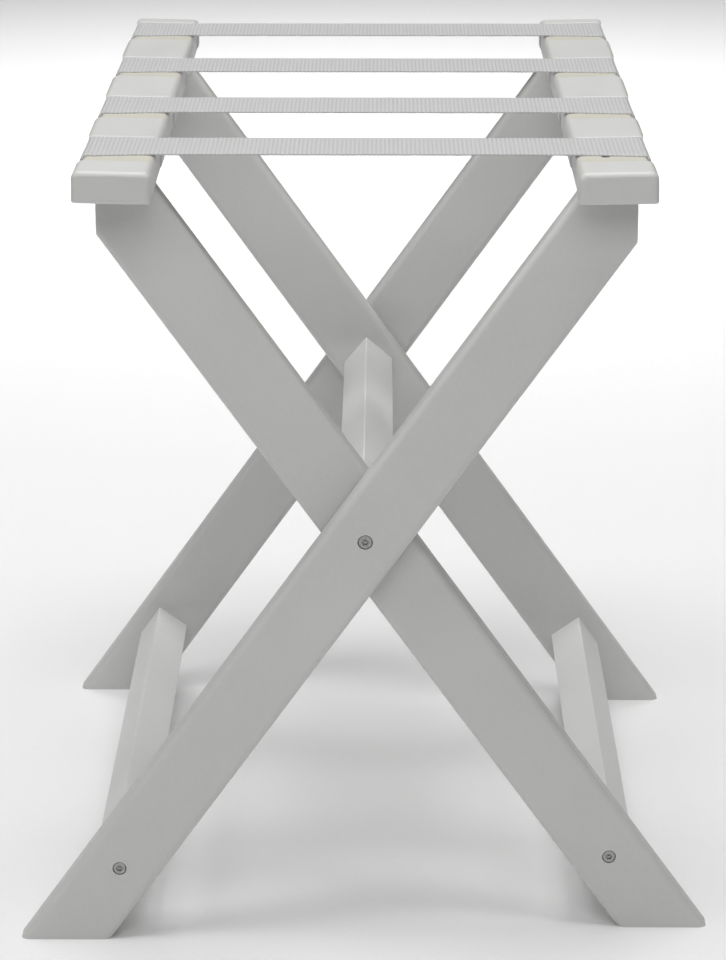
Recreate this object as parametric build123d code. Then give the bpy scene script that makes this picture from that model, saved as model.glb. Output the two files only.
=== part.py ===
from build123d import *
import math
import os

# Folding luggage rack: two crossing frames of boards, joined at a pivot bar, with four
# webbing straps stretched between their top rails. Millimetres, +Z up.
# Origin: on the floor, under the pivot, halfway along the rack. +X runs from the left
# rail to the right rail, +Y runs along the rails from the front to the rear.
#
# The inner frame has the left rail and its feet on the right.
# The outer frame has the right rail and its feet on the left.

# ---- driving dimensions ----
LEG_ANGLE = 54.4          # legs from the floor, degrees
PIVOT_HEIGHT = 254.5
BOARD_WIDTH = 44.5
LEG_THICKNESS = 18.5
LEG_EDGE_RADIUS = 4.2
FRAME_DEPTH = 454.5       # over the outer legs' outer faces
FRAME_GAP = 1.2           # between an outer leg and the inner leg beside it
CORNER_CUT_X = 155.8      # upright cut that trims each leg's upper outer corner

RAIL_LENGTH = 532.5
RAIL_THICKNESS = 18.5
RAIL_BOTTOM = 465.2       # at the rail's centre line
RAIL_CENTRE_X = 142.3
RAIL_TILT = 1.2           # outer edge up, degrees
RAIL_TOP_RADIUS = 4.5
RAIL_BOTTOM_RADIUS = 1.5
RAIL_END_RADIUS = 3

STRAP_CENTRES_Y = (-187.5, -58.5, 82.5, 224.0)
STRAP_WIDTH = 49.0
STRAP_THICKNESS = 1.2
STRAP_TAIL = 26.0         # length of webbing turned under the rail
DADO_FRONT_GAP = 21.0     # dado in front of a strap
DADO_REAR_GAP = 0.5       # dado behind a strap
DADO_TOP = 1.2            # dado depths
DADO_OUTER = 2.2
DADO_INNER = 0.8
DADO_BOTTOM = 2.0
DADO_BOTTOM_REACH = 28.0  # how far the dado under the rail comes in from the outer face
DADO_CORNER_RADIUS = 3.5
DADO_LIP_RADIUS = 1.2     # rounding on the block edges beside a dado
RUN_OUT_DEPTH = 1.8       # the outer side of a block is eased behind each dado
RUN_OUT_LENGTH = 36.0
BODY_CLEARANCE = 0.3      # between pieces that move apart

BAR_SIDE = 24.3           # square bars
BAR_EDGE_RADIUS = 0.8
BAR_ANGLE = 50.0          # pivot bar's face from level, degrees
STRETCHER_REACH = 255.5   # pivot to stretcher, along a leg
END_CLEARANCE = 0.2       # pivot bar to the inner legs, at each end

PIVOT_HEAD_RADIUS = 4.2
PIVOT_SHANK_RADIUS = 2.5
FOOT_HEAD_RADIUS = 3.95
FOOT_SHANK_RADIUS = 2.1
HEAD_HEIGHT = 2.2
HEAD_DOME = 0.8
HEAD_SINK = 0.4           # head top below the board's face
HEAD_ROOM = 0.3           # counterbore wall to head
RUNNING_CLEARANCE = 0.06
SOCKET_SIZE = 0.52        # side screw's socket radius, as a share of its head's
SOCKET_DEPTH = 0.6        # as a share of the head's height
SOCKET_LOBE = 0.3         # lobe and centre pin radius, as a share of the socket's
SOCKET_ROOT = 0.78        # the star's body between its lobes, likewise
PIVOT_SCREW_IN_BAR = 32.0
STRETCHER_SCREW_IN_BAR = 28.0
WASHER_RADIUS = 9.0
WASHER_THICKNESS = 1.0

RAIL_SCREW_SHANK = 2.0
RAIL_SCREW_HEAD = 2.9
RAIL_SCREW_HEAD_HEIGHT = 2.2
RAIL_SCREW_SINK = 0.4
RAIL_SCREW_LENGTH = 55.0
RAIL_SCREW_X = -4.5       # from the rail's centre line, outwards
RAIL_SCREW_BACK = 4.5     # behind the leg's middle
RAIL_SCREW_HEX = 1.6      # hex socket, over its corners from the centre
RAIL_SCREW_HEX_DEPTH = 1.8

TAIL_SCREW_SPREAD = 15.0  # from the strap's centre line
TAIL_SCREW_IN = 15.0      # from the rail's outer face
TAIL_SCREW_HEAD = 3.6
TAIL_SCREW_HEAD_HEIGHT = 1.8
TAIL_SCREW_SHANK = 1.6
TAIL_SCREW_LENGTH = 12.0
TAIL_SCREW_HEX_DEPTH = 1.2

# ---- worked-out dimensions ----
LEFT, RIGHT = -1, 1
FRONT, REAR = -1, 1
HALF_RAIL = BOARD_WIDTH / 2
OUTER_LEG_Y = (FRAME_DEPTH - LEG_THICKNESS) / 2
INNER_LEG_Y = OUTER_LEG_Y - LEG_THICKNESS - FRAME_GAP
OUTER_FACE_Y = FRAME_DEPTH / 2
LEG_ROOM = 700.0          # longer than any leg
TINY = 0.01
ANGLE = math.radians(LEG_ANGLE)


def on_rail(side, shape):
    """Places a shape drawn on a rail: x outwards from its middle, z up from its bottom face."""
    if side == LEFT:
        shape = mirror(shape, about=Plane.YZ)
    place = Pos(side * RAIL_CENTRE_X, 0, RAIL_BOTTOM) * Rot(0, -side * RAIL_TILT, 0)
    return place * shape


def extrude_y(face, y_start, y_end):
    """Extrudes a face drawn in X and Z from y_start to y_end."""
    return Pos(0, y_end, 0) * extrude(face, y_end - y_start)


def section(low_x, low_z, high_x, high_z):
    """A rectangle in X and Z, facing the front."""
    centre = ((low_x + high_x) / 2, 0, (low_z + high_z) / 2)
    upright = Plane(origin=centre, x_dir=(1, 0, 0), z_dir=(0, -1, 0))
    return upright * Rectangle(high_x - low_x, high_z - low_z)


def rounded_corners(face, radius, test):
    """Rounds the corners of a flat face that pass a test on their position."""
    return fillet([v for v in face.vertices() if test(v)], radius)


# ---- legs ----
def leg(leans_to, y):
    """A board through the pivot whose top leans to one side, cut level at the floor."""
    board = Box(LEG_ROOM, LEG_THICKNESS, BOARD_WIDTH)
    board = fillet(board.edges().filter_by(Axis.X), LEG_EDGE_RADIUS)
    tilt = -LEG_ANGLE if leans_to == RIGHT else LEG_ANGLE - 180
    board = Pos(0, y, PIVOT_HEIGHT) * Rot(0, tilt, 0) * board
    room = 2 * LEG_ROOM
    board -= Pos(0, 0, -room / 2) * Box(room, room, room)
    board -= on_rail(leans_to, Pos(0, 0, room / 2) * Box(room, room, room))
    beyond_corner = Pos(leans_to * (CORNER_CUT_X + room / 2), 0, PIVOT_HEIGHT + room / 2)
    return board - beyond_corner * Box(room, room, room)


def along_y(radius, length, x, z, y):
    """A cylinder along Y, centred on y."""
    return Pos(x, y, z) * Rot(90, 0, 0) * Cylinder(radius, length)


def counterbore(x, z, end, head_radius, shank_radius, face_y):
    """What a side screw takes out of the board it enters from the outside."""
    depth = HEAD_HEIGHT + HEAD_SINK
    head = along_y(head_radius + HEAD_ROOM, depth, x, z, end * (face_y - depth / 2))
    shank_y = end * (face_y - LEG_THICKNESS)
    shank = along_y(shank_radius + RUNNING_CLEARANCE, 2 * LEG_THICKNESS, x, z, shank_y)
    return head + shank


def foot_point(side):
    """Centre of the stretcher between the two legs whose feet are on this side."""
    x = side * STRETCHER_REACH * math.cos(ANGLE)
    z = PIVOT_HEIGHT - STRETCHER_REACH * math.sin(ANGLE)
    return x, z


def outer_leg(end):
    x, z = foot_point(LEFT)
    body = leg(RIGHT, end * OUTER_LEG_Y)
    body -= counterbore(0, PIVOT_HEIGHT, end, PIVOT_HEAD_RADIUS, PIVOT_SHANK_RADIUS, OUTER_FACE_Y)
    body -= counterbore(x, z, end, FOOT_HEAD_RADIUS, FOOT_SHANK_RADIUS, OUTER_FACE_Y)
    return body - rail_screw_hole(RIGHT, end * OUTER_LEG_Y)


def inner_leg(end):
    x, z = foot_point(RIGHT)
    face = INNER_LEG_Y + LEG_THICKNESS / 2
    body = leg(LEFT, end * INNER_LEG_Y)
    pivot_hole = PIVOT_SHANK_RADIUS + RUNNING_CLEARANCE
    body -= along_y(pivot_hole, 2 * LEG_THICKNESS, 0, PIVOT_HEIGHT, end * INNER_LEG_Y)
    body -= counterbore(x, z, end, FOOT_HEAD_RADIUS, FOOT_SHANK_RADIUS, face)
    return body - rail_screw_hole(LEFT, end * INNER_LEG_Y)


# ---- rails ----
def full_section():
    """The rail's section where it stands at full size."""
    face = section(-HALF_RAIL, 0, HALF_RAIL, RAIL_THICKNESS)
    face = rounded_corners(face, RAIL_TOP_RADIUS, lambda v: v.Z > RAIL_THICKNESS / 2)
    return rounded_corners(face, RAIL_BOTTOM_RADIUS, lambda v: v.Z < TINY)


def dado_section():
    """The rail's section inside a dado, without the part that the tail dado leaves below it."""
    low, high = -HALF_RAIL + DADO_INNER, HALF_RAIL - DADO_OUTER
    face = section(low, DADO_BOTTOM, high, RAIL_THICKNESS - DADO_TOP)
    middle_z = RAIL_THICKNESS / 2
    face = rounded_corners(face, DADO_CORNER_RADIUS, lambda v: v.X < 0 and v.Z > middle_z)
    return rounded_corners(face, DADO_CORNER_RADIUS, lambda v: v.X > high - TINY)


def dado_edges():
    """Front and rear of each dado, front to rear."""
    half = STRAP_WIDTH / 2
    return [(y - half - DADO_FRONT_GAP, y + half + DADO_REAR_GAP) for y in STRAP_CENTRES_Y]


def rail_blocks():
    """The full-size stretches of the rail between its dados, with rounded ends."""
    walls = [y for pair in dado_edges() for y in pair]
    stops = [-RAIL_LENGTH / 2, *walls, RAIL_LENGTH / 2]
    blocks = []
    for start, stop in zip(stops[0::2], stops[1::2]):
        block = extrude_y(full_section(), start, stop)
        for y in (start, stop):
            at_end = abs(abs(y) - RAIL_LENGTH / 2) < TINY
            radius = RAIL_END_RADIUS if at_end else DADO_LIP_RADIUS
            rim = block.faces().sort_by(lambda f: abs(f.center().Y - y))[0].edges()
            if not at_end:
                rim = rim.filter_by(lambda e: e.center().Z > RAIL_BOTTOM_RADIUS)
            block = fillet(rim, radius)
        blocks.append(block)
    return blocks


def run_out(y):
    """What eases the outer side of the block whose front end is at y."""
    face = HALF_RAIL
    start = (face - RUN_OUT_DEPTH, y)
    bend = (face - RUN_OUT_DEPTH / 4, y + RUN_OUT_LENGTH / 2)
    stop = (face, y + RUN_OUT_LENGTH)
    beyond = face + RAIL_THICKNESS
    outline = ThreePointArc(start, bend, stop) + Polyline(stop, (beyond, stop[1]), (beyond, y), start)
    return extrude(make_face(outline), RAIL_THICKNESS)


def rail(side, leg_y):
    reach = RAIL_LENGTH / 2 - 2 * RAIL_END_RADIUS
    under_top = DADO_BOTTOM + DADO_CORNER_RADIUS
    under = section(-HALF_RAIL + DADO_INNER, 0, HALF_RAIL - DADO_BOTTOM_REACH, under_top)
    body = extrude_y(dado_section(), -reach, reach) + extrude_y(under, -reach, reach)
    for block in rail_blocks():
        body += block
    for _, block_start in dado_edges():
        body -= run_out(block_start)
    body = on_rail(side, body)
    for end in (FRONT, REAR):
        body -= rail_screw_hole(side, end * leg_y)
    for index in range(len(STRAP_CENTRES_Y)):
        for hole in tail_screw_places(side, index):
            body -= on_rail(side, hole * tail_screw_shank())
    return body


# ---- screws from a rail down into its legs ----
def rail_screw_shape():
    """A countersunk screw, head up, its head's top at z = 0."""
    cone = Cone(RAIL_SCREW_SHANK, RAIL_SCREW_HEAD, RAIL_SCREW_HEAD_HEIGHT)
    cone = Pos(0, 0, -RAIL_SCREW_HEAD_HEIGHT / 2) * cone
    length = RAIL_SCREW_LENGTH - RAIL_SCREW_HEAD_HEIGHT
    shank = Cylinder(RAIL_SCREW_SHANK, length)
    return cone + Pos(0, 0, -RAIL_SCREW_HEAD_HEIGHT - length / 2) * shank


def rail_screw_place(y):
    """Where a rail screw goes, for a leg centred on y."""
    return Pos(RAIL_SCREW_X, y + RAIL_SCREW_BACK, RAIL_THICKNESS - DADO_TOP - RAIL_SCREW_SINK)


def rail_screw_hole(side, y):
    mouth = Pos(0, 0, RAIL_SCREW_SINK) * Cylinder(RAIL_SCREW_HEAD, 2 * RAIL_SCREW_SINK)
    return on_rail(side, rail_screw_place(y) * (rail_screw_shape() + mouth))


def rail_screw(side, y):
    socket = extrude(RegularPolygon(RAIL_SCREW_HEX, 6), -RAIL_SCREW_HEX_DEPTH)
    return on_rail(side, rail_screw_place(y) * (rail_screw_shape() - socket))


# ---- bars ----
def square_bar(half_length):
    bar = Box(BAR_SIDE, 2 * half_length, BAR_SIDE)
    return fillet(bar.edges().filter_by(Axis.Y), BAR_EDGE_RADIUS)


def stretcher(side):
    """The bar between two feet. The left one joins the outer legs, the right one the inner legs."""
    leg_y = OUTER_LEG_Y if side == LEFT else INNER_LEG_Y
    half = leg_y - LEG_THICKNESS / 2
    x, z = foot_point(side)
    bar = Pos(x, 0, z) * Rot(0, side * LEG_ANGLE, 0) * square_bar(half)
    for end in (FRONT, REAR):
        bar -= along_y(FOOT_SHANK_RADIUS, 2 * STRETCHER_SCREW_IN_BAR, x, z, end * half)
    return bar


def pivot_bar():
    half = INNER_LEG_Y - LEG_THICKNESS / 2 - END_CLEARANCE
    bar = Pos(0, 0, PIVOT_HEIGHT) * Rot(0, -BAR_ANGLE, 0) * square_bar(half)
    for end in (FRONT, REAR):
        bar -= along_y(PIVOT_SHANK_RADIUS, 2 * PIVOT_SCREW_IN_BAR, 0, PIVOT_HEIGHT, end * half)
    return bar


# ---- side screws ----
def six_lobe_socket(radius, depth):
    """A six-lobe socket with a pin left standing in its centre."""
    lobe = radius * SOCKET_LOBE
    star = Cylinder(radius * SOCKET_ROOT, depth)
    for turn in range(6):
        star += Rot(0, 0, 60 * turn) * Pos(radius - lobe, 0, 0) * Cylinder(lobe, depth)
    return star - Cylinder(lobe, depth)


def side_screw(x, z, end, face_y, head_radius, shank_radius, tip_y):
    """A pan-head screw whose head is sunk in a leg's outer face."""
    top = face_y - HEAD_SINK
    head = Cylinder(head_radius, HEAD_HEIGHT)
    head = fillet(head.edges().sort_by(Axis.Z)[-1], HEAD_DOME)
    depth = HEAD_HEIGHT * SOCKET_DEPTH
    socket = six_lobe_socket(head_radius * SOCKET_SIZE, depth)
    head -= Pos(0, 0, (HEAD_HEIGHT - depth) / 2) * socket
    length = top - HEAD_HEIGHT - tip_y
    shank = Pos(0, 0, -HEAD_HEIGHT / 2 - length / 2) * Cylinder(shank_radius, length)
    upright = Pos(x, end * (top - HEAD_HEIGHT / 2), z) * Rot(-90 * end, 0, 0)
    return upright * (head + shank)


def pivot_screw(end):
    tip = INNER_LEG_Y - LEG_THICKNESS / 2 - END_CLEARANCE - PIVOT_SCREW_IN_BAR
    return side_screw(0, PIVOT_HEIGHT, end, OUTER_FACE_Y, PIVOT_HEAD_RADIUS, PIVOT_SHANK_RADIUS, tip)


def stretcher_screw(side, end):
    leg_y = OUTER_LEG_Y if side == LEFT else INNER_LEG_Y
    x, z = foot_point(side)
    tip = leg_y - LEG_THICKNESS / 2 - STRETCHER_SCREW_IN_BAR
    face = leg_y + LEG_THICKNESS / 2
    return side_screw(x, z, end, face, FOOT_HEAD_RADIUS, FOOT_SHANK_RADIUS, tip)


def pivot_washer(end):
    y = end * (OUTER_LEG_Y - LEG_THICKNESS / 2 - FRAME_GAP / 2)
    disc = along_y(WASHER_RADIUS, WASHER_THICKNESS, 0, PIVOT_HEIGHT, y)
    return disc - along_y(PIVOT_SHANK_RADIUS, 2 * WASHER_THICKNESS, 0, PIVOT_HEIGHT, y)


# ---- straps ----
def strap_end_x():
    """Where a strap leaves its rail, from the rail's centre line (negative is inwards)."""
    return -HALF_RAIL + DADO_INNER + DADO_CORNER_RADIUS


def strap_end(side, y, leg_y):
    """The webbing on a rail: over its top, down its outer face and under it."""
    core = dado_section()
    loop = offset(core, STRAP_THICKNESS, kind=Kind.ARC) - core
    high = HALF_RAIL + 2 * STRAP_THICKNESS
    tail_x = HALF_RAIL - STRAP_TAIL
    top = section(strap_end_x(), RAIL_THICKNESS / 2, high, 2 * RAIL_THICKNESS)
    bottom = section(tail_x, -RAIL_THICKNESS, high, RAIL_THICKNESS / 2)
    strip = loop & (top + bottom)
    half = STRAP_WIDTH / 2
    body = on_rail(side, extrude_y(strip, y - half, y + half))
    for end in (FRONT, REAR):
        y_screw = end * leg_y + RAIL_SCREW_BACK
        shank = Pos(RAIL_SCREW_X, y_screw, 0) * Cylinder(RAIL_SCREW_SHANK, RAIL_THICKNESS)
        body -= on_rail(side, shank)
    for place in tail_screw_places(side, STRAP_CENTRES_Y.index(y)):
        body -= on_rail(side, place * tail_screw_shank())
    return body


def strap_level():
    """Height of the webbing's underside where it leaves a rail."""
    tilt = math.radians(RAIL_TILT)
    floor = RAIL_THICKNESS - DADO_TOP
    return RAIL_BOTTOM + floor * math.cos(tilt) + strap_end_x() * math.sin(tilt)


def rail_inner_x():
    """How far from the middle of the rack the webbing leaves a rail."""
    tilt = math.radians(RAIL_TILT)
    floor = RAIL_THICKNESS - DADO_TOP
    return RAIL_CENTRE_X + strap_end_x() * math.cos(tilt) - (floor + STRAP_THICKNESS) * math.sin(tilt)


def strap_span(side, y):
    """Half of the free webbing, from a rail to the middle of the rack."""
    near = BODY_CLEARANCE / 2
    far = rail_inner_x() - BODY_CLEARANCE
    bottom = strap_level()
    slab = Box(far - near, STRAP_WIDTH, STRAP_THICKNESS)
    return Pos(side * (near + far) / 2, y, bottom + STRAP_THICKNESS / 2) * slab


# ---- screws that hold the strap ends ----
def tail_screw_places(side, index):
    """Screw places under a rail, leaving out those that a leg's top covers."""
    leg_y = OUTER_LEG_Y if side == RIGHT else INNER_LEG_Y
    reach = LEG_THICKNESS / 2 + TAIL_SCREW_HEAD + BODY_CLEARANCE
    places = []
    for offset_y in (-TAIL_SCREW_SPREAD, TAIL_SCREW_SPREAD):
        y = STRAP_CENTRES_Y[index] + offset_y
        if abs(abs(y) - leg_y) > reach:
            places.append(Pos(HALF_RAIL - TAIL_SCREW_IN, y, DADO_BOTTOM - STRAP_THICKNESS))
    return places


def tail_screw_shank():
    return Pos(0, 0, TAIL_SCREW_LENGTH / 2) * Cylinder(TAIL_SCREW_SHANK, TAIL_SCREW_LENGTH)


def tail_screw():
    """A washer-head screw pointing up, its head's top face at z = 0."""
    head = Cylinder(TAIL_SCREW_HEAD, TAIL_SCREW_HEAD_HEIGHT)
    head = fillet(head.edges().sort_by(Axis.Z)[0], HEAD_DOME)
    head = Pos(0, 0, -TAIL_SCREW_HEAD_HEIGHT / 2) * head
    socket = extrude(RegularPolygon(TAIL_SCREW_SHANK, 6), TAIL_SCREW_HEX_DEPTH)
    return head - Pos(0, 0, -TAIL_SCREW_HEAD_HEIGHT) * socket + tail_screw_shank()


def tail_screws(side, index):
    screws = [on_rail(side, place * tail_screw()) for place in tail_screw_places(side, index)]
    return Compound(children=screws)


# ---- assembly ----
def all_nodes():
    sides = {"left": LEFT, "right": RIGHT}
    ends = {"front": FRONT, "rear": REAR}
    rail_leg_y = {"left": INNER_LEG_Y, "right": OUTER_LEG_Y}
    nodes = {"pivot_bar": pivot_bar()}
    for end_name, end in ends.items():
        nodes[f"outer_leg_{end_name}"] = outer_leg(end)
        nodes[f"inner_leg_{end_name}"] = inner_leg(end)
        nodes[f"pivot_screw_{end_name}"] = pivot_screw(end)
        nodes[f"pivot_washer_{end_name}"] = pivot_washer(end)
    for side_name, side in sides.items():
        leg_y = rail_leg_y[side_name]
        nodes[f"rail_{side_name}"] = rail(side, leg_y)
        nodes[f"stretcher_{side_name}"] = stretcher(side)
        for end_name, end in ends.items():
            nodes[f"stretcher_screw_{side_name}_{end_name}"] = stretcher_screw(side, end)
            nodes[f"rail_screw_{side_name}_{end_name}"] = rail_screw(side, end * leg_y)
        for index, y in enumerate(STRAP_CENTRES_Y):
            number = index + 1
            nodes[f"strap_{number}_{side_name}_end"] = strap_end(side, y, leg_y)
            nodes[f"strap_{number}_{side_name}_span"] = strap_span(side, y)
            nodes[f"strap_screws_{number}_{side_name}"] = tail_screws(side, index)
    return nodes


os.makedirs("parts", exist_ok=True)
for node_name, solid in all_nodes().items():
    export_step(solid, f"parts/{node_name}.step")
print("webbing leaves the rails at x", round(rail_inner_x(), 3), "z", round(strap_level(), 3))
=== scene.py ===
"""Looks for a folding luggage rack: smooth satin white boards and four ribbed white webbing straps.

Metres, +Z up. The origin is on the floor under the pivot, halfway along the rack.
"""
import math

import bpy
import bmesh
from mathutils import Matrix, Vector


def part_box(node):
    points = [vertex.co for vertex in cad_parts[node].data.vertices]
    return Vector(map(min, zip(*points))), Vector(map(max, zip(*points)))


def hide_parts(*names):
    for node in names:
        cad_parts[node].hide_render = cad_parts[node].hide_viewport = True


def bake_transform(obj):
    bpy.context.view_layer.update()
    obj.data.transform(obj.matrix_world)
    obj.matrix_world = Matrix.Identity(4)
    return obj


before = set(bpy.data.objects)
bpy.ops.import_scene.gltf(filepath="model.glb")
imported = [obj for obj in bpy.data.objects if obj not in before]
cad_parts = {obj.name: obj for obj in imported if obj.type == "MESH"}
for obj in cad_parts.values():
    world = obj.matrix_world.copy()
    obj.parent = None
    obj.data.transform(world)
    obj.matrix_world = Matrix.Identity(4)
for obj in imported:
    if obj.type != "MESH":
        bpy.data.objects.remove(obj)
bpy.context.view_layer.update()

MM = 0.001

# ---- strap facts, millimetres ----
STRAP_WIDTH = 49.0
STRAP_TAIL_X = -3.75         # end of the tail under the rail, from the rail's centre line
WEB_THICKNESS = 0.85         # in the hollows between the ribs
RIB_PITCH = 2.5
RIB_HEIGHT = 0.42            # both faces together
RIB_SAMPLES = 6              # rings of points per rib
ACROSS = 24                  # divisions across a strap
SERRATION = 0.35             # how far the ribs stand out at the edges
EDGE_WANDER = 0.12           # slow unevenness of the edges
FRONT_BULGE_START = 0.3      # share of the width, from the rear edge, where the bulge begins
RIM = 0.1                    # share of the half width where the webbing thins to its edge
RIM_THINNING = 0.35
RIM_DROP = 0.3               # how far the edges settle towards the rail
FAN = 6.0                    # extra width at the front edge, on the rail's outer side
BULGE = 0.3                  # how far the front edge stands off the rail's outer side

# ---- rail facts, millimetres ----
RAIL_CENTRE_X = 142.3
RAIL_BOTTOM = 465.2
RAIL_TILT = math.radians(1.2)
DADO_FLOOR = 17.3
WEB_TOP = 17.9               # mid-webbing above the rail's bottom
WEB_SIDE = 20.65             # mid-webbing on the rail's outer side
WEB_UNDER = 1.4
WEB_CORNER = 4.1             # bend radius of the mid-webbing
INNER_BEND_X = -17.95        # where the webbing leaves the rail, from its centre line
STRAP_HINGE_X = 124.06
ARC_STEPS = 8
RECESS_LOW = 0.25            # above a dado's floor: all painted shade below this, none above RECESS_HIGH
RECESS_HIGH = 0.7


# ---- colours, linear ----
# painted shade: the warm shadow on the dado floors beside the straps
DADO_PAINTED_SHADE = (0.60, 0.58, 0.505)
BOARD_TONES = ((0.600, 0.598, 0.586), (0.632, 0.631, 0.620), (0.650, 0.649, 0.640))
# painted light: the bars are the same white as the boards, painted lighter for the extra light they
# catch
BAR_PAINTED_LIGHT_TONES = ((0.760, 0.758, 0.746), (0.795, 0.794, 0.782), (0.815, 0.814, 0.804))
WEB_RIB = (0.575, 0.575, 0.573)
# painted shade for the hollows between the ribs; also the darker tone of uneven threads
WEB_HOLLOW_SHADE_AND_DARK_THREAD = (0.435, 0.437, 0.440)
WEB_CLOUD = (0.525, 0.526, 0.527)


# ---- camera, metres and degrees ----
CAMERA_LENS = 169.3
CAMERA_PLACE = (0.0103, -2.1359, 0.8729)
CAMERA_DOWN = 16.901
CAMERA_TURN = 0.348

# ---- floor and lights: name, place, target, size, power, spread ----
FLOOR_HALF_SIZE = 12.0
SKY_STRENGTH = 0.01
LIGHTS = (
    ("overhead", (0, 0, 3.2), (0, 0, 0), (3.0, 3.0), 30, 180),
    ("overhead_rear", (0, 1.6, 3.0), (0, 0.9, 0), (3.0, 2.0), 17, 180),
    ("key", (0, -0.3, 2.4), (0, -0.1, 0.3), (0.9, 0.9), 21, 180),
    ("backdrop", (0, 2.6, 2.6), (0, 1.9, 0), (2.5, 1.5), 12, 70),
    ("backdrop_far", (0, 3.6, 2.6), (0, 3.0, 0), (3.0, 1.5), 8, 60),
    ("front", (0, -1.5, 1.3), (0, 0, 0.45), (1.6, 0.6), 9, 180),
    ("left", (-2.2, -0.8, 1.9), (0, 0, 0.3), (1.2, 1.2), 8.5, 180),
    ("right", (2.2, -0.8, 1.9), (0, 0, 0.3), (1.2, 1.2), 2, 180),
)


# ---- node helpers ----
class Nodes:
    """Adds and links shader nodes in one material."""

    def __init__(self, name):
        self.material = bpy.data.materials.new(name)
        self.material.use_nodes = True
        self.tree = self.material.node_tree
        self.tree.nodes.clear()
        self.output = self.add("ShaderNodeOutputMaterial")
        self.shader = self.add("ShaderNodeBsdfPrincipled")
        self.link(self.shader, "BSDF", self.output, "Surface")

    def add(self, kind, **values):
        node = self.tree.nodes.new(kind)
        for key, value in values.items():
            if hasattr(node, key):
                setattr(node, key, value)
            else:
                node.inputs[key.replace("_", " ")].default_value = value
        return node

    def link(self, source, output, target, socket):
        self.tree.links.new(source.outputs[output], target.inputs[socket])

    def noise(self, scale, detail=3.0, roughness=0.5, stretch=(1, 1, 1)):
        """Noise in the object's own space, with features of 1/scale metres."""
        place = self.add("ShaderNodeTexCoord")
        mapping = self.add("ShaderNodeMapping")
        mapping.inputs["Scale"].default_value = stretch
        self.link(place, "Object", mapping, "Vector")
        texture = self.add("ShaderNodeTexNoise", Scale=scale, Detail=detail, Roughness=roughness)
        self.link(mapping, "Vector", texture, "Vector")
        return texture

    def remap(self, source, output, low, high, to_low, to_high):
        node = self.add("ShaderNodeMapRange")
        node.inputs["From Min"].default_value = low
        node.inputs["From Max"].default_value = high
        node.inputs["To Min"].default_value = to_low
        node.inputs["To Max"].default_value = to_high
        self.link(source, output, node, "Value")
        return node

    def mix_colour(self, factor, factor_output, first, second):
        """Mixes two colours, each a tuple or a (node, output) pair."""
        node = self.add("ShaderNodeMix", data_type="RGBA")
        self.tree.links.new(factor.outputs[factor_output], node.inputs[0])
        for value, socket in ((first, node.inputs[6]), (second, node.inputs[7])):
            if isinstance(value[0], (int, float)):
                socket.default_value = (*value, 1.0)
            else:
                self.tree.links.new(value[0].outputs[value[1]], socket)
        return node

    def bump(self, source, output, distance, strength, below=None):
        node = self.add("ShaderNodeBump", Strength=strength, Distance=distance)
        self.link(source, output, node, "Height")
        if below is not None:
            self.link(below, "Normal", node, "Normal")
        return node


def recess_shade_mask(n):
    """1 on the floor of a dado under the straps, where the painted shade goes; 0 on the rail's
    full-size blocks.
    """
    place = n.add("ShaderNodeTexCoord")
    position = n.add("ShaderNodeSeparateXYZ")
    n.link(place, "Object", position, "Vector")
    from_middle = n.add("ShaderNodeMath", operation="ABSOLUTE")
    n.link(position, "X", from_middle, 0)
    slope = n.add("ShaderNodeMath", operation="MULTIPLY_ADD")
    n.link(from_middle, 0, slope, 0)
    slope.inputs[1].default_value = -math.tan(RAIL_TILT)
    slope.inputs[2].default_value = math.tan(RAIL_TILT) * RAIL_CENTRE_X * MM
    height = n.add("ShaderNodeMath", operation="ADD")
    n.link(position, "Z", height, 0)
    n.link(slope, 0, height, 1)
    floor = (RAIL_BOTTOM + DADO_FLOOR) * MM
    low = n.remap(height, 0, floor + RECESS_LOW * MM, floor + RECESS_HIGH * MM, 1.0, 0.0)
    facing = n.add("ShaderNodeSeparateXYZ")
    n.link(place, "Normal", facing, "Vector")
    up = n.remap(facing, "Z", 0.6, 0.9, 0.0, 1.0)
    both = n.add("ShaderNodeMath", operation="MULTIPLY")
    n.link(low, "Result", both, 0)
    n.link(up, "Result", both, 1)
    return both


def board_material(name, tones, shaded_dados=False):
    """Smooth moulded white board: faint mottling and a fine skin, with painted warm shade on the
    floors of a rail's dados.
    """
    n = Nodes(name)
    dull, pale, speck = tones
    clouds = n.noise(9.0, detail=4.0)
    specks = n.noise(420.0, detail=2.0)
    colour = n.mix_colour(n.remap(clouds, "Fac", 0.35, 0.65, 0.0, 1.0), "Result",
                          dull, pale)
    grain = n.remap(specks, "Fac", 0.3, 0.7, 0.0, 0.35)
    colour = n.mix_colour(grain, "Result", (colour, 2), speck)
    # painted shade on the up-facing dado floors beside the straps
    if shaded_dados:
        colour = n.mix_colour(recess_shade_mask(n), 0, (colour, 2), DADO_PAINTED_SHADE)
    n.link(colour, 2, n.shader, "Base Color")
    scuffs = n.noise(60.0, detail=6.0, roughness=0.65, stretch=(1, 0.25, 1))
    n.link(n.remap(scuffs, "Fac", 0.3, 0.7, 0.40, 0.52), "Result", n.shader, "Roughness")
    n.shader.inputs["Specular IOR Level"].default_value = 0.42
    n.shader.inputs["Subsurface Weight"].default_value = 0.0
    skin = n.bump(n.noise(900.0, detail=2.0), "Fac", 0.00012, 0.22)
    waves = n.bump(n.noise(26.0, detail=1.0), "Fac", 0.0006, 0.16, below=skin)
    n.link(waves, "Normal", n.shader, "Normal")
    return n.material


def rib_height(n, uv):
    """1 on the crown of each rib across a strap, 0 in the hollows between them."""
    place = n.add("ShaderNodeSeparateXYZ")
    n.link(uv, "UV", place, "Vector")
    turns = n.add("ShaderNodeMath", operation="MULTIPLY")
    n.link(place, "Y", turns, 0)
    turns.inputs[1].default_value = 2 * math.pi / (RIB_PITCH * MM)
    ripple = n.add("ShaderNodeMath", operation="COSINE")
    n.link(turns, 0, ripple, 0)
    return n.remap(ripple, 0, -1.0, 0.4, 0.0, 1.0)


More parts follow.
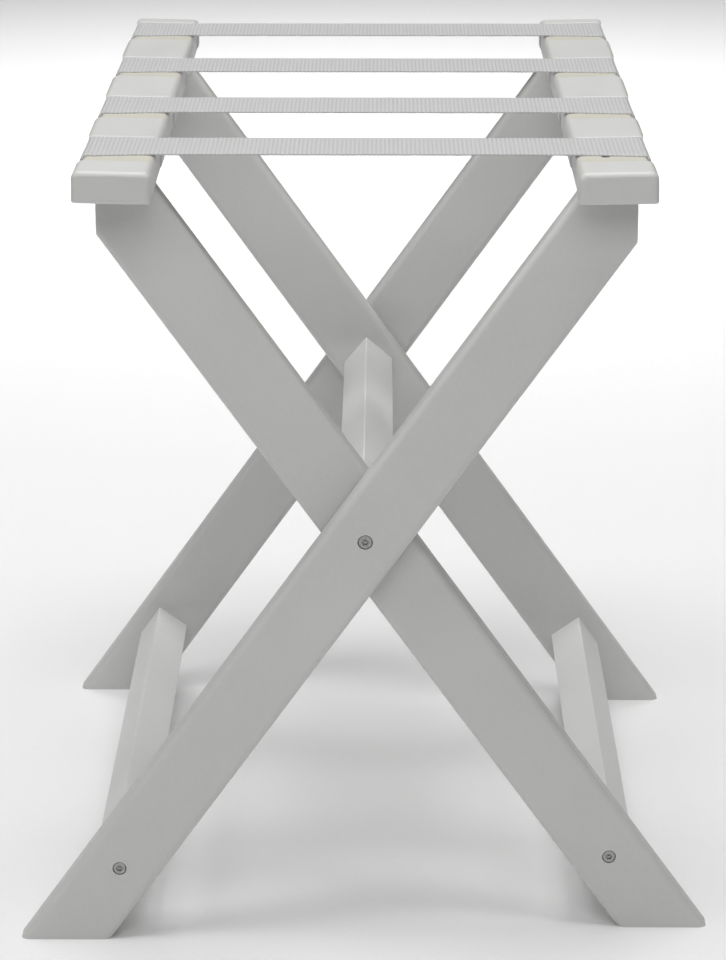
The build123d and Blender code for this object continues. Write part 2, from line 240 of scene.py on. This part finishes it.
def webbing_material():
    """Matt woven webbing: fine lengthways yarns over the ribs, painted shade in the hollows between
    them, and uneven cool white thread.
    """
    n = Nodes("webbing_white")
    uv = n.add("ShaderNodeUVMap", uv_map="strap")
    clouds = n.noise(35.0, detail=3.0)
    threads = n.noise(1500.0, detail=2.0)
    # painted shade: darker in the hollows between the ribs
    colour = n.mix_colour(rib_height(n, uv), "Result", WEB_HOLLOW_SHADE_AND_DARK_THREAD, WEB_RIB)
    patches = n.remap(clouds, "Fac", 0.3, 0.7, 0.0, 0.4)
    colour = n.mix_colour(patches, "Result", (colour, 2), WEB_CLOUD)
    shade = n.remap(threads, "Fac", 0.35, 0.65, 0.0, 0.35)
    colour = n.mix_colour(shade, "Result", (colour, 2), WEB_HOLLOW_SHADE_AND_DARK_THREAD)
    n.link(colour, 2, n.shader, "Base Color")
    n.link(n.remap(threads, "Fac", 0.3, 0.7, 0.60, 0.78), "Result", n.shader, "Roughness")
    n.shader.inputs["Specular IOR Level"].default_value = 0.30
    n.shader.inputs["Sheen Weight"].default_value = 0.15
    n.shader.inputs["Sheen Roughness"].default_value = 0.5
    yarn = n.add("ShaderNodeTexWave", wave_type="BANDS", bands_direction="X")
    yarn.inputs["Scale"].default_value = 1.0
    yarn.inputs["Distortion"].default_value = 0.6
    yarn.inputs["Detail"].default_value = 1.0
    scale = n.add("ShaderNodeMapping")
    scale.inputs["Scale"].default_value = (260.0, 60.0, 1.0)
    n.link(uv, "UV", scale, "Vector")
    n.link(scale, "Vector", yarn, "Vector")
    yarn_bump = n.bump(yarn, "Fac", 0.00016, 0.5)
    fuzz = n.bump(n.noise(2600.0, detail=2.0), "Fac", 0.00015, 0.35, below=yarn_bump)
    n.link(fuzz, "Normal", n.shader, "Normal")
    return n.material


def steel_material():
    """Dull plated screw steel with fine turning marks and random darker blotches."""
    n = Nodes("screw_steel")
    blotches = n.noise(700.0, detail=4.0)
    colour = n.mix_colour(n.remap(blotches, "Fac", 0.3, 0.7, 0.0, 1.0), "Result",
                          (0.36, 0.355, 0.35), (0.52, 0.515, 0.505))
    n.link(colour, 2, n.shader, "Base Color")
    n.shader.inputs["Metallic"].default_value = 0.7
    n.link(n.remap(blotches, "Fac", 0.3, 0.7, 0.42, 0.58), "Result", n.shader, "Roughness")
    marks = n.bump(n.noise(2400.0, detail=2.0, stretch=(1, 0.1, 1)), "Fac", 0.0001, 0.4)
    n.link(marks, "Normal", n.shader, "Normal")
    return n.material


def washer_material():
    """Milky nylon with a faintly drawn surface."""
    n = Nodes("washer_nylon")
    clouds = n.noise(180.0, detail=3.0)
    colour = n.mix_colour(n.remap(clouds, "Fac", 0.3, 0.7, 0.0, 1.0), "Result",
                          (0.62, 0.61, 0.58), (0.70, 0.69, 0.66))
    n.link(colour, 2, n.shader, "Base Color")
    n.link(n.remap(clouds, "Fac", 0.3, 0.7, 0.42, 0.6), "Result", n.shader, "Roughness")
    skin = n.bump(n.noise(1400.0, detail=2.0), "Fac", 0.0001, 0.3)
    n.link(skin, "Normal", n.shader, "Normal")
    return n.material


def floor_material():
    """Pale seamless paper."""
    n = Nodes("floor_paper")
    fibres = n.noise(350.0, detail=3.0)
    colour = n.mix_colour(n.remap(fibres, "Fac", 0.3, 0.7, 0.0, 1.0), "Result",
                          (0.93, 0.93, 0.93), (0.95, 0.95, 0.95))
    n.link(colour, 2, n.shader, "Base Color")
    n.shader.inputs["Roughness"].default_value = 0.9
    n.shader.inputs["Specular IOR Level"].default_value = 0.1
    n.link(n.bump(fibres, "Fac", 0.0001, 0.2), "Normal", n.shader, "Normal")
    return n.material


# ---- strap shape ----
def arc(centre_x, centre_z, radius, start, stop, steps):
    """Points of an arc from one angle to another, in degrees from +x towards +z."""
    angles = [math.radians(start + (stop - start) * i / steps) for i in range(1, steps + 1)]
    return [(centre_x + radius * math.cos(a), centre_z + radius * math.sin(a)) for a in angles]


def rail_to_world(x, z):
    """From a rail's own frame (x outwards, z up) to distance from the middle and height."""
    cos, sin = math.cos(RAIL_TILT), math.sin(RAIL_TILT)
    return RAIL_CENTRE_X + x * cos - z * sin, RAIL_BOTTOM + x * sin + z * cos


def strap_line():
    """The middle of a half strap's thickness, from the tail's end to mid-span."""
    bend_x = WEB_SIDE - WEB_CORNER
    low = WEB_UNDER + WEB_CORNER
    high = WEB_TOP - WEB_CORNER
    on_rail = [(STRAP_TAIL_X, WEB_UNDER), (bend_x, WEB_UNDER)]
    on_rail += arc(bend_x, low, WEB_CORNER, -90, 0, ARC_STEPS)
    on_rail += [(WEB_SIDE, high)]
    on_rail += arc(bend_x, high, WEB_CORNER, 0, 90, ARC_STEPS)
    on_rail += [(INNER_BEND_X, WEB_TOP)]
    line = [rail_to_world(x, z) for x, z in on_rail]
    return line + [(0.0, line[-1][1])]


def resample(line, step):
    """Points at equal steps along a line, with the unit direction at each."""
    lengths = [math.dist(a, b) for a, b in zip(line, line[1:])]
    total = sum(lengths)
    count = round(total / step)
    points = []
    index, start = 0, 0.0
    for k in range(count + 1):
        at = total * k / count
        while index < len(lengths) - 1 and at > start + lengths[index]:
            start += lengths[index]
            index += 1
        share = (at - start) / lengths[index]
        a, b = line[index], line[index + 1]
        points.append((a[0] + (b[0] - a[0]) * share, a[1] + (b[1] - a[1]) * share))
    directions = []
    for k in range(count + 1):
        a, b = points[max(k - 1, 0)], points[min(k + 1, count)]
        size = math.dist(a, b)
        directions.append(((b[0] - a[0]) / size, (b[1] - a[1]) / size))
    return points, directions, total


def wave(value, seed):
    """Slow seeded unevenness between -1 and 1."""
    return 0.6 * math.sin(value * 0.045 + seed * 2.1) + 0.4 * math.sin(value * 0.021 + seed * 5.3)


def smooth_step(value, low, high):
    t = min(max((value - low) / (high - low), 0.0), 1.0)
    return t * t * (3 - 2 * t)


def strap_ring(centre_y, point, direction, phase, outer_share, side_share, on_rail, seed, along):
    """One ring of points round the webbing, and where each lies on the flat strap."""
    (x, z), (dx, dz) = point, direction
    rib = RIB_HEIGHT * (0.5 + 0.5 * phase)
    edge_out = SERRATION * (0.5 + 0.5 * phase) + EDGE_WANDER * wave(along * 4, seed)
    ring, place = [], []
    for layer in (1, -1):
        order = range(ACROSS + 1) if layer == 1 else range(ACROSS, -1, -1)
        for j in order:
            across = -1 + 2 * j / ACROSS
            front = 0.5 - 0.5 * across
            rim = max(0.0, (abs(across) - 1 + RIM) / RIM)
            y = across * (STRAP_WIDTH / 2 - SERRATION + edge_out) - front * FAN * outer_share
            thick = (WEB_THICKNESS + rib) / 2 * (1 - RIM_THINNING * rim * rim)
            lift = BULGE * side_share * smooth_step(front, FRONT_BULGE_START, 1.0)
            off = layer * thick + lift - RIM_DROP * on_rail * rim * rim
            ring.append((x + off * dz, centre_y + y, z - off * dx))
            place.append((y * MM, along * MM))
    return ring, place


def half_strap(number, side_name, side, centre_y, material):
    """One half of a strap, as a closed ribbed ribbon from its tail under the rail to mid-span."""
    points, directions, total = resample(strap_line(), RIB_PITCH / RIB_SAMPLES)
    mesh = bmesh.new()
    uv_layer = mesh.loops.layers.uv.new("strap")
    rings, places = [], []
    outer = RAIL_CENTRE_X + WEB_SIDE
    for k, (point, direction) in enumerate(zip(points, directions)):
        # distance from mid-span, so that the ribs of both halves meet
        along = total * (1 - k / (len(points) - 1))
        phase = math.cos(2 * math.pi * along / RIB_PITCH)
        outer_share = smooth_step(point[0], RAIL_CENTRE_X + INNER_BEND_X, outer)
        side_share = smooth_step(point[0], outer - 2 * WEB_CORNER, outer)
        on_rail = smooth_step(point[0], STRAP_HINGE_X, STRAP_HINGE_X + WEB_CORNER)
        ring, place = strap_ring(centre_y, point, direction, phase, outer_share, side_share,
                                 on_rail, number + side, along)
        rings.append([mesh.verts.new((side * x * MM, y * MM, z * MM)) for x, y, z in ring])
        places.append(place)
    size = 2 * (ACROSS + 1)
    for k in range(len(rings) - 1):
        for j in range(size):
            i = (j + 1) % size
            corners = ((k, j), (k, i), (k + 1, i), (k + 1, j))
            face = mesh.faces.new([rings[a][b] for a, b in corners])
            face.smooth = j not in (ACROSS, size - 1)
            for loop, (a, b) in zip(face.loops, corners):
                loop[uv_layer].uv = places[a][b]
    for k in (0, len(rings) - 1):
        for j in range(ACROSS):
            corners = (j, j + 1, size - 2 - j, size - 1 - j)
            face = mesh.faces.new([rings[k][c] for c in corners])
            for loop, c in zip(face.loops, corners):
                loop[uv_layer].uv = places[k][c]
    bmesh.ops.recalc_face_normals(mesh, faces=mesh.faces)
    data = bpy.data.meshes.new(f"webbing_{number}_{side_name}")
    mesh.to_mesh(data)
    mesh.free()
    data.materials.append(material)
    strap = bpy.data.objects.new(f"webbing_{number}_{side_name}", data)
    bpy.context.scene.collection.objects.link(strap)
    return strap, total


def build_straps(material):
    for side_name, side, frame_body in (("left", -1, "inner_frame"), ("right", 1, "outer_frame")):
        for number in range(1, 5):
            end_node = f"strap_{number}_{side_name}_end"
            span_node = f"strap_{number}_{side_name}_span"
            low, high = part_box(end_node)
            centre_y = (low.y + high.y) / 2 / MM
            strap, length = half_strap(number, side_name, side, centre_y, material)
            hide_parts(end_node, span_node)
            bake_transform(strap)


# ---- finishes on the carried-over parts ----
def finish_frame():
    board = board_material("board_white", BOARD_TONES)
    # painted light: the bars get lighter copies of the board tones
    bar = board_material("bar_white_painted_light", BAR_PAINTED_LIGHT_TONES)
    rail = board_material("rail_white", BOARD_TONES, shaded_dados=True)
    steel = steel_material()
    washer = washer_material()
    for name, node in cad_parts.items():
        if "screw" in name:
            finish = steel
        elif "washer" in name:
            finish = washer
        elif name.startswith("rail_"):
            finish = rail
        elif name.startswith(("pivot_bar", "stretcher")):
            finish = bar
        else:
            finish = board
        node.data.materials.clear()
        node.data.materials.append(finish)


# ---- camera, floor and light ----
def add_camera():
    data = bpy.data.cameras.new("camera")
    data.sensor_fit = "HORIZONTAL"
    data.sensor_width = 36.0
    data.lens = CAMERA_LENS
    camera = bpy.data.objects.new("camera", data)
    camera.location = CAMERA_PLACE
    camera.rotation_euler = (math.radians(90 - CAMERA_DOWN), 0, math.radians(CAMERA_TURN))
    bpy.context.scene.collection.objects.link(camera)
    bpy.context.scene.camera = camera


def add_floor():
    mesh = bpy.data.meshes.new("floor")
    size = FLOOR_HALF_SIZE
    corners = [(-size, -size, 0), (size, -size, 0), (size, size, 0), (-size, size, 0)]
    mesh.from_pydata(corners, [], [(0, 1, 2, 3)])
    mesh.materials.append(floor_material())
    floor = bpy.data.objects.new("floor", mesh)
    bpy.context.scene.collection.objects.link(floor)


def add_area(name, place, target, size, power, spread):
    data = bpy.data.lights.new(name, "AREA")
    data.shape = "RECTANGLE"
    data.size, data.size_y = size
    data.energy = power
    data.spread = math.radians(spread)
    light = bpy.data.objects.new(name, data)
    light.location = place
    aim = Vector(target) - Vector(place)
    light.rotation_euler = aim.to_track_quat("-Z", "Y").to_euler()
    bpy.context.scene.collection.objects.link(light)


def add_light():
    world = bpy.data.worlds.new("studio")
    world.use_nodes = True
    sky = world.node_tree.nodes["Background"]
    sky.inputs["Color"].default_value = (1.0, 1.0, 1.0, 1.0)
    sky.inputs["Strength"].default_value = SKY_STRENGTH
    bpy.context.scene.world = world
    for light in LIGHTS:
        add_area(*light)
    view = bpy.context.scene.view_settings
    view.view_transform = "Standard"
    view.look = "None"


finish_frame()
build_straps(webbing_material())
add_camera()
add_floor()
add_light()
